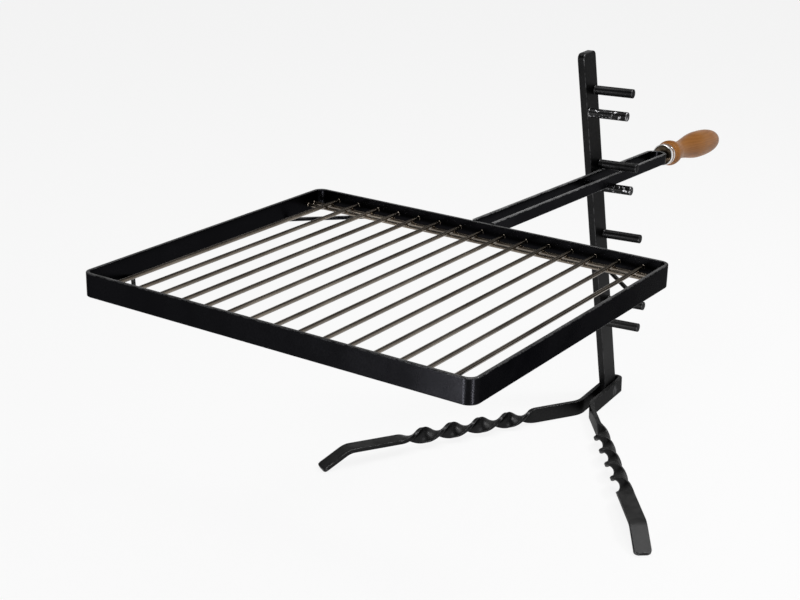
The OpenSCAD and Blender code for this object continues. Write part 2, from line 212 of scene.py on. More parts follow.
def painted_light_mask(tree, where):
    """Where light is painted: patches of painted top light on what faces up, and a painted floor reflection
    low on the stand, above the foot bar.
    """
    upward = part_of(tree, add_node(tree, "TexCoord").outputs["Normal"], 2)
    patches = spread(tree, noise(tree, where, PAINTED_LIGHT_SCALE, 4, 0.7), 0.3, 0.6, 0.5, 1)
    # painted top light: faces that point up are painted lighter, in patches
    painted_top_light = times(tree, spread(tree, upward, 0.6, 0.95), patches)
    # painted floor reflection: low parts of the stand are painted lighter
    height = part_of(tree, where, 2)
    above_bar = spread(tree, height, 20 * mm, 60 * mm, 0.2, 1)
    painted_floor_reflection = times(tree, spread(tree, height, 60 * mm, 250 * mm, 0.3, 0), above_bar)
    return larger(tree, painted_top_light, painted_floor_reflection)


def powder_coat(name, deep, pale, worn_and_sheen, roughness, edge_tint, grain, grain_depth, painted_light_grey=0.0, chips=None):
    """deep, pale and the edge colour go to grey(); the edge colour is wear, and on the handle partly a
    painted highlight.
    The painted light grey is that of the painted top light and floor reflection, and chips is the range of
    the noise in which the coat flakes off.
    """
    material, tree, shader, where = start_material(name)
    cloud = spread(tree, noise(tree, where, CLOUD_SCALE, 4, 0.6), 0.35, 0.65)
    fine = noise(tree, where, grain, 3, 0.6)
    coat = blend(tree, times(tree, cloud, spread(tree, fine, 0.35, 0.7)), grey(*deep), grey(*pale))
    edge = spread(tree, add_node(tree, "NewGeometry").outputs["Pointiness"], EDGE_FROM, EDGE_FULL)
    rub_and_sheen = times(tree, edge, spread(tree, noise(tree, where, RUB_AND_SHEEN_SCALE, 3, 0.7), 0.42, 0.6))
    # worn edges; on the handle this bright edge colour is partly a painted highlight on the rolled edges
    coat = blend(tree, rub_and_sheen, coat, grey(*worn_and_sheen))
    # painted light: lighter and less metallic where the painted top light and floor reflection fall
    if painted_light_grey:
        painted_light = painted_light_mask(tree, where)
        coat = blend(tree, painted_light, coat, grey(painted_light_grey))
        tree.links.new(spread(tree, painted_light, 0, 1, 1, PAINTED_LIGHT_METALLIC), shader.inputs["Metallic"])
        shader.inputs["Specular IOR Level"].default_value = PAINTED_LIGHT_SPECULAR
    else:
        shader.inputs["Metallic"].default_value = 1.0
    if chips:
        flake = spread(tree, noise(tree, where, FLAKE_SCALE, 4, 0.75), *chips)
        coat = blend(tree, flake, coat, BARE_STEEL)
    tree.links.new(coat, shader.inputs["Base Color"])
    tree.links.new(spread(tree, cloud, 0, 1, roughness - 0.04, roughness + 0.05), shader.inputs["Roughness"])
    shader.inputs["Specular Tint"].default_value = grey(edge_tint)
    bump(tree, shader, fine, grain_depth, 0.3)
    return material


# %% The five coats
# the grey after the edge tint and grain is the colour of the painted top light and painted floor reflection
stand_coat = powder_coat(
    "grained_charcoal_coat", deep=(0.014, 0.0003), pale=(0.026, 0.0005), worn_and_sheen=(0.1, 0.002),
    roughness=0.36, edge_tint=0.5, grain=620, grain_depth=0.2 * mm, painted_light_grey=0.04)
chipped_coat = powder_coat(
    "chipped_charcoal_coat", deep=(0.016, 0.0003), pale=(0.03, 0.0005), worn_and_sheen=(0.3, 0.004),
    roughness=0.34, edge_tint=0.5, grain=620, grain_depth=0.2 * mm, chips=(0.56, 0.61))
tray_coat = powder_coat(
    "satin_black_coat", deep=(0.005, 0.0008), pale=(0.0085, 0.0013), worn_and_sheen=(0.09, 0.004),
    roughness=0.26, edge_tint=0.48, grain=760, grain_depth=0.08 * mm, painted_light_grey=0.1)
# the handle's bright edge colour is partly a painted highlight on its rolled edges
handle_coat = powder_coat(
    "glossy_black_coat", deep=(0.009, 0.0012), pale=(0.015, 0.002), worn_and_sheen=(0.35, 0.006),
    roughness=0.24, edge_tint=0.5, grain=760, grain_depth=0.08 * mm, painted_light_grey=0.15)
disc_coat = powder_coat(
    "glossy_brown_black", deep=(0.03, -0.01, 0.01), pale=(0.06, -0.02, 0.022), worn_and_sheen=(0.1, -0.03, 0.03),
    roughness=0.24, edge_tint=0.6, grain=300, grain_depth=0.05 * mm)
print("coats:", *(coat.name for coat in (stand_coat, chipped_coat, tray_coat, handle_coat, disc_coat)))

# %% [markdown]
# Drawn rod has hair-fine lines along its length, from the die that it is pulled through, and over a fire it
# takes a straw tint. The lines come from noise that is stretched along the rod, so they need the tray's own
# coordinates. The ferrule's steel is turned instead, and its lines run round it.

# %% Stainless rod and ferrule steel
def bare_steel(name, placing, lines, dull, bright, roughness=0.2):
    """lines stretches the noise: the smaller the number, the longer the lines in that direction."""
    material, tree, shader, where = start_material(name)
    local = in_frame(tree, where, placing)
    scratch = noise(tree, stretched(tree, local, lines), 1, 4, 0.7)
    tint = spread(tree, noise(tree, local, 14, 3, 0.6), 0.35, 0.7)
    tree.links.new(blend(tree, tint, dull + (1,), bright + (1,)), shader.inputs["Base Color"])
    sheen = spread(tree, scratch, 0.3, 0.7, roughness - 0.08, roughness + 0.1)
    tree.links.new(sheen, shader.inputs["Roughness"])
    shader.inputs["Metallic"].default_value = 1.0
    bump(tree, shader, scratch, 0.03 * mm, 0.4)
    return material


rod_steel = bare_steel("drawn_stainless", IN_TRAY, lines=(9, 2600, 2600),
                       dull=(0.12, 0.1, 0.08), bright=(0.26, 0.225, 0.185))
ferrule_steel = bare_steel("turned_bright_steel", ON_GRIP, lines=(2400, 60, 60),
                           dull=(0.62, 0.61, 0.6), bright=(0.8, 0.8, 0.8))
print("steels:", rod_steel.name, ferrule_steel.name)

# %% [markdown]
# The grip is turned from a plank of beech-like wood and varnished. Growth layers show as long flames because
# the lathe cuts through them at a slant: Wave bands across the plank, pushed about by stretched noise, give
# those. Short dark pores lie along the grain on top, and the far end is darker, partly where end grain soaks
# up more varnish and partly as painted shade. The varnish is a thin clear coat over all of it.

# %% Varnished wood
DARK_LAYER, PALE_LAYER = (0.205, 0.074, 0.015, 1), (0.26, 0.102, 0.024, 1)
# the last colour is end grain, darkened further as painted shade
PORE, WARM_CLOUD, END_GRAIN_AND_SHADE = (0.12, 0.042, 0.012, 1), (0.33, 0.145, 0.036, 1), (0.07, 0.035, 0.018, 1)
END_FROM, END_FULL = 146 * mm, 163 * mm      # along the grip, from the hairpin's bend


def varnished_wood(name, placing):
    material, tree, shader, where = start_material(name)
    local = in_frame(tree, where, placing)
    warp = noise(tree, stretched(tree, local, (9, 60, 60)), 1, 3, 0.55)
    settings = {"Vector": stretched(tree, local, (22, 40, 120)), "Scale": 1.0, "Distortion": 3.5,
                "Detail": 3.0, "Detail Scale": 0.8, "Phase Offset": times(tree, warp, 9.0)}
    layers = add_node(tree, "TexWave", settings, wave_type="BANDS", bands_direction="Z").outputs["Fac"]
    tone = blend(tree, spread(tree, layers, 0.1, 0.95, 0.15, 0.85), DARK_LAYER, PALE_LAYER)
    fibre = noise(tree, stretched(tree, local, (60, 1400, 1400)), 1, 3, 0.6)
    tone = blend(tree, spread(tree, fibre, 0.56, 0.74, 0, 0.3), tone, PORE)
    cloud = spread(tree, noise(tree, local, 30, 2, 0.5), 0.35, 0.7, 0, 0.35)
    tone = blend(tree, cloud, tone, WARM_CLOUD)
    # darker towards the far end: end grain, and painted shade
    far_end_grain_and_shade = spread(tree, part_of(tree, local, 0), END_FROM, END_FULL, 0, 0.85)
    tree.links.new(blend(tree, far_end_grain_and_shade, tone, END_GRAIN_AND_SHADE), shader.inputs["Base Color"])
    tree.links.new(spread(tree, fibre, 0.3, 0.7, 0.36, 0.5), shader.inputs["Roughness"])
    shader.inputs["Specular IOR Level"].default_value = 0.1
    shader.inputs["Coat Weight"].default_value = 0.1
    shader.inputs["Coat Roughness"].default_value = 0.2
    bump(tree, shader, fibre, 0.04 * mm, 0.3)
    return material


grip_wood = varnished_wood("varnished_wood_grain", ON_GRIP)
print("wood:", grip_wood.name)

# %% [markdown]
# ## Working by hand, in code
# Each piece starts as a primitive, is shaped in edit mode, and gets its rolled edges and smooth shading last.
# In edit mode an operator acts on what is selected, so a helper selects parts by their place. Pointiness is
# kept per vertex and spread over the face between them, so a long face would carry the wear of its edges
# right across. Loops cut close beside the rolled edges stop it there.

# %% Helpers for selecting and cutting
WEAR_W = 1.6 * mm            # how far wear reaches from a rolled edge


def middle(part):
    """The middle of a vertex, edge or face."""
    corners = getattr(part, "verts", [part])
    return sum((v.co for v in corners), Vector()) / len(corners)


def pick(piece, kind, test):
    """Selects the verts, edges or faces that pass the test, and nothing else."""
    bpy.ops.mesh.select_mode(type={"verts": "VERT", "edges": "EDGE", "faces": "FACE"}[kind])
    bpy.ops.mesh.select_all(action="DESELECT")
    shape = bmesh.from_edit_mesh(piece.data)
    for part in getattr(shape, kind):
        if test(part):
            part.select_set(True)
    shape.select_flush_mode()
    bmesh.update_edit_mesh(piece.data)


def pick_all():
    bpy.ops.mesh.select_all(action="SELECT")


def near(a, b, within=0.01 * mm):
    return abs(a - b) < within


def cut_loops(places, across):
    """Cuts the piece at each place, square to the direction across, and keeps both sides."""
    for place in places:
        pick_all()
        bpy.ops.mesh.bisect(plane_co=place, plane_no=across)


def swell_ring(piece, axis, at, swell):
    """Scales the ring of vertices at a place on the axis, and keeps it on its plane."""
    scale = [swell, swell, swell]
    scale[axis] = 1
    pick(piece, "verts", lambda v: near(v.co[axis], at))
    bpy.ops.transform.resize(value=scale)


# %% Helpers for starting, copying and finishing a piece
def only(piece):
    if bpy.context.mode != "OBJECT":
        bpy.ops.object.mode_set(mode="OBJECT")
    bpy.ops.object.select_all(action="DESELECT")
    piece.select_set(True)
    bpy.context.view_layer.objects.active = piece


def start_piece(name):
    """Names the primitive that was just added and goes into edit mode with it."""
    piece = bpy.context.object
    piece.name = piece.data.name = name
    bpy.ops.object.transform_apply(location=True, rotation=True, scale=True)
    bpy.ops.object.mode_set(mode="EDIT")
    return piece


def apply_modifier(piece, kind, **settings):
    bpy.ops.object.mode_set(mode="OBJECT")
    step = piece.modifiers.new(kind.title(), kind)
    for key, value in settings.items():
        setattr(step, key, value)
    bpy.ops.object.modifier_apply(modifier=step.name)


def cut_with(piece, cutter):
    """Cuts the cutter's shape out of the piece and throws the cutter away."""
    only(piece)
    apply_modifier(piece, "BOOLEAN", operation="DIFFERENCE", solver="EXACT", object=cutter)
    bpy.data.objects.remove(cutter)


def finish_piece(piece, body, material, nodes, place=None, smooth=35):
    """Shades a piece, puts it in its place, gives it its material, hangs it on its body and hides the
    imported parts it stands for.
    """
    only(piece)
    bpy.ops.object.shade_smooth_by_angle(angle=math.radians(smooth))
    if place is not None:
        piece.matrix_world = place
        bpy.ops.object.transform_apply(location=True, rotation=True, scale=True)
    piece.data.materials.clear()
    piece.data.materials.append(material)
    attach(piece, body)
    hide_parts(*nodes)
    print(piece.name, len(piece.data.polygons), "faces")


def copy_of(piece, name, move):
    """A copy with a mesh of its own, moved by the matrix."""
    twin = piece.copy()
    twin.data = piece.data.copy()
    twin.name = twin.data.name = name
    bpy.context.collection.objects.link(twin)
    twin.data.transform(move)
    return twin


bpy.ops.object.select_all(action="DESELECT")

# %% [markdown]
# ## The upright
# On the real stand this is a length of 30 by 8 mm flat bar, sawn level at both ends. A cube gives the bar.
# Moving only its top face sideways makes it lean and keeps both ends level, which rotating it would not. The
# two upper corners then differ in angle, so each gets the bevel offset that gives the same radius. The rivet
# of the fold goes through a hole near the foot.

# %% Upright
foot_x = PIVOT_Z * math.tan(LEAN)
top_shift = -UPRIGHT_H * math.tan(LEAN)
bpy.ops.mesh.primitive_cube_add(size=1, location=(foot_x, 0, UPRIGHT_H / 2))
bpy.context.object.scale = (UPRIGHT_W / math.cos(LEAN), UPRIGHT_T, UPRIGHT_H)
upright = start_piece("leaning_upright")
pick(upright, "faces", lambda f: near(middle(f).z, UPRIGHT_H))
bpy.ops.transform.translate(value=(top_shift, 0, 0))
for side in (-1, 1):
    pick(upright, "edges", lambda e: near(middle(e).y, 0) and near(middle(e).z, UPRIGHT_H)
         and side * (middle(e).x - foot_x - top_shift) > 0)
    bpy.ops.mesh.bevel(offset=TOP_CORNER_R / math.tan(math.pi / 4 + side * LEAN / 2), segments=8)
pick(upright, "edges", lambda e: near(abs(middle(e).y), UPRIGHT_T / 2) and middle(e).z > mm)
bpy.ops.mesh.bevel(offset=ROLLED_R, segments=4)

# %% Loops against smeared wear
# The first three keep it at the foot and round the hole, and the last two at the round corners.
loop_heights = (3 * mm, 24 * mm, 30 * mm, UPRIGHT_H - 14 * mm, UPRIGHT_H - 9 * mm)
cut_loops([(0, 0, z) for z in loop_heights], (0, 0, 1))
cut_loops([(0, side * (UPRIGHT_T / 2 - WEAR_W), 0) for side in (-1, 1)], (0, 1, 0))
leaning_edges = [on_upright(0, side * (UPRIGHT_W / 2 - WEAR_W)) for side in (-1, 1)]
cut_loops(leaning_edges, (math.cos(LEAN), 0, math.sin(LEAN)))

# %% The rivet's hole in the upright
bpy.ops.object.mode_set(mode="OBJECT")
bpy.ops.mesh.primitive_cylinder_add(vertices=48, radius=RIVET_R, depth=3 * UPRIGHT_T,
                                    location=(0, 0, PIVOT_Z), rotation=(math.pi / 2, 0, 0))
cut_with(upright, bpy.context.object)
finish_piece(upright, "stand", stand_coat, ["upright"])

# %% [markdown]
# ## The pins
# Each pin is a sawn piece of 10 mm rod with its end broken by a file, welded square to the upright. One pin
# is modelled and copied to the eight places. Three cuts near the root give rings to swell into the weld bead,
# and two near the end hold the wear there. Every copy is turned a little further, as no smith lines rods up.

# %% One pin
FILED = 0.6 * mm
END_RINGS = (-PIN_LEN + 1.5 * mm, -PIN_LEN + 4 * mm)
WELD_RINGS = ((-1.2 * mm, 1.0), (-0.7 * mm, 1.04), (-0.25 * mm, 1.1))
ROOT_SWELL = 1.12
PIN_TURN = 0.7               # radians from one copy to the next

bpy.ops.mesh.primitive_cylinder_add(vertices=40, radius=PIN_R, depth=PIN_LEN,
                                    location=(0, -PIN_LEN / 2, 0), rotation=(math.pi / 2, 0, 0))
pin = start_piece("pin_model")
pick(pin, "edges", lambda e: all(near(v.co.y, -PIN_LEN) for v in e.verts))
bpy.ops.mesh.bevel(offset=FILED, segments=3)
cut_loops([(0, y, 0) for y in END_RINGS], (0, 1, 0))
for y, swell in WELD_RINGS:
    cut_loops([(0, y, 0)], (0, 1, 0))
    swell_ring(pin, 1, y, swell)
swell_ring(pin, 1, 0, ROOT_SWELL)
bpy.ops.object.mode_set(mode="OBJECT")
print("one pin has", len(pin.data.polygons), "faces")

# %% Eight pins
for number in range(1, PAIRS + 1):
    along = PAIR_FIRST + (number - 1) * PAIR_PITCH
    for kind, sign in (("support", -1), ("hold_down", 1)):
        root = on_upright(along + sign * PAIR_SPREAD / 2, sign * PIN_ACROSS) - Vector((0, UPRIGHT_T / 2, 0))
        turn = Matrix.Rotation(PIN_TURN * number + sign, 4, "Y")
        twin = copy_of(pin, f"{kind}_rod_{number}", Matrix.Translation(root) @ turn)
        coat = chipped_coat if kind == "support" and number >= HOOK_PAIR else stand_coat
        finish_piece(twin, "stand", coat, [f"{kind}_pin_{number}"])
bpy.data.objects.remove(pin)

# %% [markdown]
# ## The foot bar
# One 18 by 5 mm bar is bent round the foot of the upright, splayed, twisted four and a half half-turns in
# each leg and set down at the tips. It could be bent with curve and twist modifiers, but they leave the
# flanges and tips slightly off. Here the straight bar is cut into short stations, and each station is sent
# to its place, heading and roll on the bar's path, just as a smith works along the bar. Hot bar gives way
# gently on both sides of the vice, so the twist starts and ends over a few millimetres. The reach of the
# bend, the radii and the length of the flat before each tip are measured in the photograph.

# %% Sizes of the foot bar
BAR_W, BAR_T = 18 * mm, 5 * mm
SLOT = UPRIGHT_T + 0.6 * mm                  # the flanges clear the upright by 0.3 mm on each side
FLANGE_Y = (SLOT + BAR_T) / 2
BEND_REACH = 28.5 * mm                       # from the pivot to the back of the bend
SPLAY_REACH, SPLAY_R, SPLAY = 67 * mm, 24 * mm, math.radians(33)
RISE, RISE_R = math.radians(2), 120 * mm
EDGE_LEN, FLAT_LEN = 55.7 * mm, 65.8 * mm    # before and after the twist
HALF_TURNS, HALF_TURN_LEN, TWIST_EASE = 4.5, 36.6 * mm, 8 * mm
FOOT_R, FOOT_FALL, TIP_R = 22 * mm, math.radians(28), 4 * mm

# %% The path of the foot bar, worked out so that both tips reach the ground
BIGHT_X = BEND_REACH - FLANGE_Y - BAR_T / 2
SPLAY_X = SPLAY_R * math.tan(SPLAY / 2) - SPLAY_REACH
TWIST_LEN = HALF_TURNS * HALF_TURN_LEN
RISEN_LEN = EDGE_LEN + TWIST_LEN + FLAT_LEN
RISEN_Z = PIVOT_Z + RISE_R * (1 - math.cos(RISE))
FOOT_BEND_Z = RISEN_Z + RISEN_LEN * math.sin(RISE)
foot_start_z = FOOT_BEND_Z - FOOT_R * (math.cos(RISE) - math.cos(FOOT_FALL))
FOOT_LEN = (foot_start_z - BAR_T / 2 * math.cos(FOOT_FALL)) / math.sin(FOOT_FALL)
STRETCHES = (
    ("bight", FLANGE_Y * math.pi / 2),
    ("flange", BIGHT_X - SPLAY_X),
    ("splay", SPLAY_R * SPLAY),
    ("rise", RISE_R * RISE),
    ("risen", RISEN_LEN),
    ("bend", FOOT_R * (FOOT_FALL + RISE)),
    ("foot", FOOT_LEN),
)
HALF_BAR = sum(length for _, length in STRETCHES)
print("the foot bar is", round(2 * HALF_BAR / mm), "mm long before it is bent")


# %% A place, a heading and a roll for each length along the bar
def twisted_len(along):
    """The length of bar that is twisted so far: a steady rise, eased at both ends."""
    def area(t):
        return max(0, min(t, TWIST_LEN)) ** 2 / 2 + TWIST_LEN * max(0, t - TWIST_LEN)
    return (area(along + TWIST_EASE) - area(along - TWIST_EASE)) / (2 * TWIST_EASE)


def leg_station(side, out, z, pitch, roll, plan_turn=SPLAY):
    """A station past the splay: out from it in plan, at height z."""
    x = SPLAY_X - SPLAY_R * math.sin(plan_turn) - out * math.cos(SPLAY)
    y = FLANGE_Y + SPLAY_R * (1 - math.cos(plan_turn)) + out * math.sin(SPLAY)
    yaw = math.pi - plan_turn if side > 0 else plan_turn
    return Vector((x, side * y, z)), yaw, side * pitch, side * roll


def bar_station(u):
    """The bar's middle at the length u from the back of the bend, its yaw, pitch and roll there."""
    side = 1 if u > 0 else -1
    d = min(abs(u), HALF_BAR)
    for stretch, length in STRETCHES:
        if d <= length or stretch == "foot":
            break
        d -= length
    if stretch == "bight":
        yaw = math.pi / 2 + u / FLANGE_Y
        return Vector((BIGHT_X + FLANGE_Y * math.sin(yaw), -FLANGE_Y * math.cos(yaw), PIVOT_Z)), yaw, 0, 0
    if stretch == "flange":
        return Vector((BIGHT_X - d, side * FLANGE_Y, PIVOT_Z)), (math.pi if side > 0 else 0), 0, 0
    if stretch == "splay":
        return leg_station(side, 0, PIVOT_Z, 0, 0, d / SPLAY_R)
    if stretch == "rise":
        a = d / RISE_R
        return leg_station(side, RISE_R * math.sin(a), PIVOT_Z + RISE_R * (1 - math.cos(a)), a, 0)
    out = RISE_R * math.sin(RISE)
    if stretch == "risen":
        turned = twisted_len(d - EDGE_LEN) / HALF_TURN_LEN
        z = RISEN_Z + d * math.sin(RISE)
        return leg_station(side, out + d * math.cos(RISE), z, RISE, -math.pi * turned)
    pitch = RISE - d / FOOT_R if stretch == "bend" else -FOOT_FALL
    straight = d if stretch == "foot" else 0
    out += RISEN_LEN * math.cos(RISE) + FOOT_R * (math.sin(RISE) - math.sin(pitch))
    out += straight * math.cos(pitch)
    z = FOOT_BEND_Z + FOOT_R * (math.cos(pitch) - math.cos(RISE)) + straight * math.sin(pitch)
    return leg_station(side, out, z, pitch, -math.pi * HALF_TURNS)


def bent(point):
    """Sends a point of the straight bar (length, thickness, width) to its place on the bent one."""
    at, yaw, pitch, roll = bar_station(point.x)
    left = Vector((-math.sin(yaw), math.cos(yaw), 0))
    ahead = Vector((math.cos(yaw) * math.cos(pitch), math.sin(yaw) * math.cos(pitch), math.sin(pitch)))
    up = ahead.cross(left)
    to_tip = max(0, HALF_BAR - abs(point.x))
    narrow = 1.0
    if to_tip < TIP_R:
        narrow -= 2 * (TIP_R - math.sqrt(TIP_R ** 2 - (TIP_R - to_tip) ** 2)) / BAR_W
    across, wide = point.y, point.z * narrow
    return at + across * (left * math.cos(roll) + up * math.sin(roll)) \
        + wide * (up * math.cos(roll) - left * math.sin(roll))


# %% Bend the foot bar
FACE_LOOP = 2.4 * mm         # between loops across the wide faces, so that the twist stays round
CUTS = 29                    # for each of the two times that the bar is subdivided

bpy.ops.mesh.primitive_cube_add(size=1)
bpy.context.object.scale = (2 * HALF_BAR, BAR_T, BAR_W)
foot_bar = start_piece("twisted_foot_bar")
pick(foot_bar, "edges", lambda e: near(middle(e).x, 0))
bpy.ops.mesh.bevel(offset=ROLLED_R, segments=4)
cut_loops([(0, 0, side * (BAR_W / 2 - WEAR_W)) for side in (-1, 1)], (0, 0, 1))
cut_loops([(0, 0, step * FACE_LOOP) for step in (-2, -1, 0, 1, 2)], (0, 0, 1))
for _ in range(2):
    pick(foot_bar, "edges", lambda e: abs(e.verts[0].co.x - e.verts[1].co.x) > 0.1 * mm)
    bpy.ops.mesh.subdivide(number_cuts=CUTS)
bpy.ops.object.mode_set(mode="OBJECT")
for vertex in foot_bar.data.vertices:
    vertex.co = bent(vertex.co)
print("stations about", round(2 * HALF_BAR / (CUTS + 1) ** 2 / mm, 2), "mm apart")

# %% [markdown]
# The rivet passes through both flanges with a hair of room, so that the legs can fold. Its flush heads are
# cones. The cutter is the rivet's outline with that room added, drawn a millimetre past both flanges, and
# spun round the X axis.

# %% The rivet's holes in the flanges
def turned(name, profile, steps=72):
    """Spins an outline of (along, radius) pairs round the X axis into a closed shape."""
    mesh = bpy.data.meshes.new(name)
    count = len(profile)
    loop = profile[0][1] > 0
    edges = [(i, (i + 1) % count) for i in range(count if loop else count - 1)]
    mesh.from_pydata([(x, r, 0) for x, r in profile], edges, [])
    piece = bpy.data.objects.new(name, mesh)
    bpy.context.collection.objects.link(piece)
    only(piece)
    bpy.ops.object.mode_set(mode="EDIT")
    pick_all()
    bpy.ops.mesh.spin(steps=steps, angle=2 * math.pi, center=(0, 0, 0), axis=(1, 0, 0))
    pick_all()
    bpy.ops.mesh.remove_doubles(threshold=0.002 * mm)
    bpy.ops.mesh.normals_make_consistent(inside=False)
    bpy.ops.object.mode_set(mode="OBJECT")
    return piece


flange_out = SLOT / 2 + BAR_T
past_head_r = RIVET_R + RIVET_HEAD_H + mm + FIT
cutter = turned("rivet_cutter", [
    (-flange_out - mm, 0), (-flange_out - mm, past_head_r), (-flange_out + RIVET_HEAD_H, RIVET_R + FIT),
    (flange_out - RIVET_HEAD_H, RIVET_R + FIT), (flange_out + mm, past_head_r), (flange_out + mm, 0),
], steps=48)
cutter.data.transform(Matrix.Translation((0, 0, PIVOT_Z)) @ Matrix.Rotation(math.pi / 2, 4, "Z"))
cut_with(foot_bar, cutter)
finish_piece(foot_bar, "foot", stand_coat, ["leg_bar"], smooth=40)

# %% [markdown]
# ## The tray's frame
# The frame is one flat bar on edge, bent to a rectangle with round corners. A plane with bevelled corners
# gives its outline. Its edges are extruded down, Solidify gives the bar its thickness inwards, and a bevel
# rolls the edges, which is what makes the thin light line along the rim.

# %% Tray frame
TRAY_CORNER_R = 10 * mm

bpy.ops.mesh.primitive_plane_add(size=1)
bpy.context.object.scale = (TRAY_L, TRAY_W, 1)
rim = start_piece("tray_rim")
pick_all()
bpy.ops.mesh.bevel(offset=TRAY_CORNER_R, segments=12, affect="VERTICES")
pick_all()
bpy.ops.mesh.delete(type="ONLY_FACE")
pick_all()
bpy.ops.mesh.extrude_edges_move(TRANSFORM_OT_translate={"value": (0, 0, -FRAME_H)})
pick_all()
bpy.ops.mesh.normals_make_consistent(inside=False)
apply_modifier(rim, "SOLIDIFY", thickness=FRAME_T, offset=-1, use_even_offset=True)
apply_modifier(rim, "BEVEL", width=ROLLED_R, segments=4, limit_method="ANGLE", angle_limit=math.radians(40))
bpy.ops.object.mode_set(mode="EDIT")
cut_loops([(0, 0, -WEAR_W), (0, 0, WEAR_W - FRAME_H)], (0, 0, 1))
finish_piece(rim, "tray", tray_coat, ["grate_frame"], IN_TRAY)

# %% [markdown]
# ## Rods, wires and braces
# Fifteen stainless rods run with the handle, and two pairs of wires lie across under them. Each rod is
# resistance-welded at its ends, so the last millimetre swells. A rod is modelled once and copied.

# %% One rod, then the fifteen and the four wires
ROD_R, ROD_Z, RODS, OUTER_ROD = 2 * mm, -9 * mm, 15, 27 * mm
WIRE_R = 1.75 * mm
WIRES = ((1, -1, 13 * mm), (2, -1, 23 * mm), (3, 1, 23 * mm), (4, 1, 13 * mm))   # number, end, inset
WELD_STEPS, WELD_SWELL = ((1.0 * mm, 1.0), (0.4 * mm, 1.06)), 1.2


def welded_rod(name, length, radius):
    """A rod along X whose ends swell into small welds."""
    bpy.ops.mesh.primitive_cylinder_add(vertices=24, radius=radius, depth=length,
                                        rotation=(0, math.pi / 2, 0))
    rod = start_piece(name)
    for end in (-1, 1):
        for inset, swell in WELD_STEPS:
            at = end * (length / 2 - inset)
            cut_loops([(at, 0, 0)], (1, 0, 0))
            swell_ring(rod, 0, at, swell)
        swell_ring(rod, 0, end * length / 2, WELD_SWELL)
    bpy.ops.object.mode_set(mode="OBJECT")
    return rod


rod_pitch = (TRAY_W - 2 * OUTER_ROD) / (RODS - 1)
model = welded_rod("rod_model", TRAY_L - 2 * FRAME_T, ROD_R)
for number in range(1, RODS + 1):
    place = Matrix.Translation((0, (number - (RODS + 1) / 2) * rod_pitch, ROD_Z))
    rod = copy_of(model, f"stainless_rod_{number:02d}", place)
    finish_piece(rod, "tray", rod_steel, [f"grill_rod_{number:02d}"], IN_TRAY)
bpy.data.objects.remove(model)

wire_z = ROD_Z - ROD_R - WIRE_R - FIT
model = welded_rod("wire_model", TRAY_W - 2 * FRAME_T, WIRE_R)
for number, end, inset in WIRES:
    place = Matrix.Translation((end * (TRAY_L / 2 - inset), 0, wire_z))
    place @= Matrix.Rotation(math.pi / 2, 4, "Z")
    wire = copy_of(model, f"stainless_wire_{number}", place)
    finish_piece(wire, "tray", rod_steel, [f"cross_wire_{number}"], IN_TRAY)
bpy.data.objects.remove(model)

# %% [markdown]
# A slanted brace stiffens each corner underneath. Its ends are cut to lie against the frame's inner faces,
# so a rod that is too long is turned to 45 degrees and bisected at both faces.

# %% Corner braces
BRACE_R, BRACE_REACH = 2 * mm, 60 * mm       # the reach is measured from the tray's outer corner
INNER_L, INNER_W = TRAY_L / 2 - FRAME_T, TRAY_W / 2 - FRAME_T


def corner_brace(number, sx, sy):
    reach = BRACE_REACH - FRAME_T
    at = (sx * (INNER_L - reach / 2), sy * (INNER_W - reach / 2), BRACE_R - FRAME_H)
    bpy.ops.mesh.primitive_cylinder_add(vertices=28, radius=BRACE_R, depth=2 * reach, location=at,
                                        rotation=(0, math.pi / 2, -sx * sy * math.pi / 4))
    brace = start_piece(f"slanted_brace_{number}")
    for wall, outward in (((sx * INNER_L, 0, 0), (sx, 0, 0)), ((0, sy * INNER_W, 0), (0, sy, 0))):
        pick_all()
        bpy.ops.mesh.bisect(plane_co=wall, plane_no=outward, use_fill=True, clear_outer=True)
        cut_loops([Vector(wall) - step * WEAR_W * Vector(outward) for step in (1, 3)], outward)
    finish_piece(brace, "tray", tray_coat, [f"corner_brace_{number}"], IN_TRAY)


for number, sx, sy in ((1, 1, 1), (2, -1, 1), (3, -1, -1), (4, 1, -1)):
    corner_brace(number, sx, sy)

# %% [markdown]
# ## The hairpin handle
# One flat bar goes out from the tray, turns back on itself and returns. The end face is extruded out, spun
# half a turn about the middle of the bend, and extruded back. A bisect trims both ends against the frame.

# %% Hairpin
bend_x = HAIRPIN_LEN - HAIRPIN_W / 2
bend_r = (HAIRPIN_W - HAIRPIN_T) / 2
bpy.ops.mesh.primitive_plane_add(size=1, location=(-mm, -bend_r, 0), rotation=(0, math.pi / 2, 0))
bpy.context.object.scale = (HAIRPIN_H, HAIRPIN_T, 1)
hairpin = start_piece("hairpin_bar")
pick_all()
bpy.ops.mesh.bevel(offset=ROLLED_R, segments=4, affect="VERTICES")
pick_all()
bpy.ops.mesh.extrude_region_move(TRANSFORM_OT_translate={"value": (bend_x + mm, 0, 0)})
bpy.ops.mesh.spin(steps=28, angle=-math.pi, center=(bend_x, 0, 0), axis=(0, 0, 1))
bpy.ops.mesh.extrude_region_move(TRANSFORM_OT_translate={"value": (-bend_x - mm, 0, 0)})
pick_all()
bpy.ops.mesh.remove_doubles(threshold=0.002 * mm)
bpy.ops.mesh.normals_make_consistent(inside=False)
cut_loops([(0, 0, side * (HAIRPIN_H / 2 - WEAR_W)) for side in (-1, 1)], (0, 0, 1))
cut_loops([(bend_x - step * WEAR_W, 0, 0) for step in (1, 3)], (1, 0, 0))

